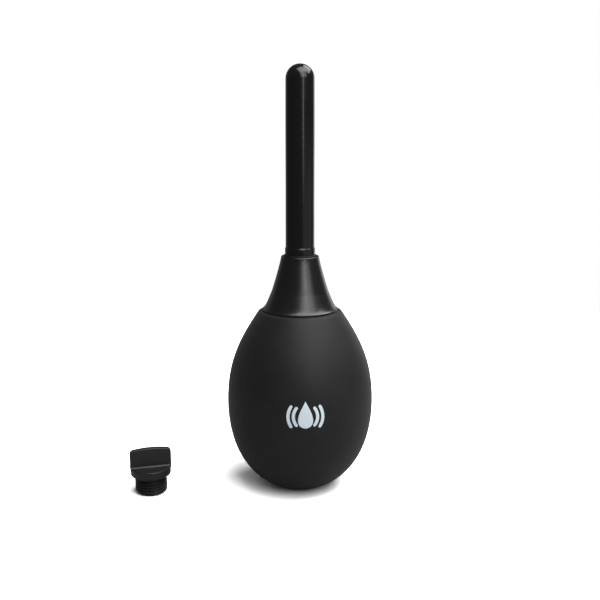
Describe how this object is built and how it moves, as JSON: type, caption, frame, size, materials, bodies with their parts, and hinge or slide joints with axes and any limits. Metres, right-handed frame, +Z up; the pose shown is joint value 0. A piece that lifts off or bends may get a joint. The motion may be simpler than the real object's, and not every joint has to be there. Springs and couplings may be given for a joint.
{
  "type": "dust blower bulb",
  "caption": "Round rubber squeeze bulb with a flared screw collar, a long hollow round-ended nozzle with small outlets in its end, and a loose winged screw plug.",
  "frame": {"origin": "centre of the bulb's flat foot, on the surface it stands on", "axes": "+Z up along the bulb and nozzle, -Y towards the front with the printed mark, +X to the right seen from the front, with the loose plug on the left"},
  "size_m": [0.121, 0.0726, 0.2077],
  "materials": {
    "bulb_rubber": "matt soft-touch",
    "collar_plastic": "satin gloss",
    "insert_plastic": "as moulded",
    "nozzle_plastic": "polished",
    "seal_rubber": "smooth",
    "plug_plastic": "satin",
    "plug_seal_rubber": "smooth"
  },
  "bodies": {
    "bulb": {"bulb": "bulb_rubber"},
    "neck": {"collar": "collar_plastic", "neck_insert": "insert_plastic"},
    "seal": {"nozzle_seal": "seal_rubber"},
    "nozzle": {"nozzle": "nozzle_plastic"},
    "plug": {"plug": "plug_plastic", "plug_seal": "plug_seal_rubber"}
  },
  "joints": [
    {"name": "bulb_squeeze", "type": "slide", "parent": "bulb", "child": "neck", "axis": [0, 0, -1], "range_m": [0, 0.022], "stiffness_N_per_m": 1800, "deforming": ["bulb"]},
    {"name": "nozzle_rise", "type": "slide", "parent": "neck", "child": "seal", "axis": [0, 0, 1], "range_m": [0, 0.0091]},
    {"name": "nozzle_turn", "type": "hinge", "parent": "seal", "child": "nozzle", "pos_m": [0, 0, 0.1168], "axis": [0, 0, 1], "range_deg": [0, 2160]},
    {"name": "plug_lift", "type": "slide", "parent": "bulb", "child": "plug", "axis": [0, 0, 1], "range_m": [0, 0.03]}
  ],
  "couplings": [
    {"joint": "nozzle_rise", "follows": "nozzle_turn", "m_per_rad": 0.00023873}
  ]
}
